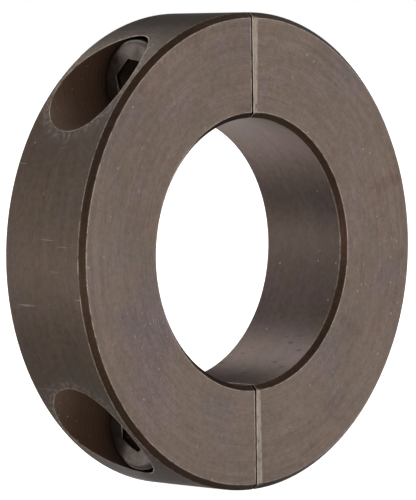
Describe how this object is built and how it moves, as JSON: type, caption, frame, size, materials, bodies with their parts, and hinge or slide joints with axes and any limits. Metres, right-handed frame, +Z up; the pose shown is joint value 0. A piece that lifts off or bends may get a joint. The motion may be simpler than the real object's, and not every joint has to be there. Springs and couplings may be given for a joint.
{
  "type": "shaft collar",
  "caption": "Split steel ring that clamps around a shaft with cap screws across its joint, to hold or locate what sits beside it on the shaft.",
  "frame": {"origin": "on the bore axis, halfway through the collar's width", "axes": "+Z up, +Y along the bore axis away from the pictured face, +X across the split from the counterbored half to the tapped half"},
  "size_m": [0.054, 0.0126, 0.054],
  "materials": {
    "counterbored_half_steel": "black oxide over a turned and ground surface, semi-matte",
    "tapped_half_steel": "black oxide over a turned and ground surface, semi-matte",
    "upper_cap_screw_steel": "black oxide on a forged head, satin",
    "lower_cap_screw_steel": "black oxide on a forged head, satin"
  },
  "bodies": {
    "counterbored_half": {"counterbored_half": "counterbored_half_steel"},
    "tapped_half": {"tapped_half": "tapped_half_steel"},
    "upper_cap_screw": {"upper_cap_screw": "upper_cap_screw_steel"},
    "lower_cap_screw": {"lower_cap_screw": "lower_cap_screw_steel"}
  },
  "joints": [
    {"name": "upper_screw_turn", "type": "hinge", "parent": "counterbored_half", "child": "upper_cap_screw", "pos_m": [-0.0064, 0, 0.0193], "axis": [-1, 0, 0], "range_deg": [0, 3413]},
    {"name": "lower_screw_turn", "type": "hinge", "parent": "counterbored_half", "child": "lower_cap_screw", "pos_m": [-0.0064, 0, -0.0193], "axis": [-1, 0, 0], "range_deg": [0, 3413]},
    {"name": "half_opening", "type": "slide", "parent": "counterbored_half", "child": "tapped_half", "axis": [1, 0, 0], "range_m": [0, 0.0086]}
  ],
  "couplings": [
    {"joint": "upper_screw_turn", "follows": "half_opening", "rad_per_m": 6926.3},
    {"joint": "lower_screw_turn", "follows": "half_opening", "rad_per_m": 6926.3}
  ]
}
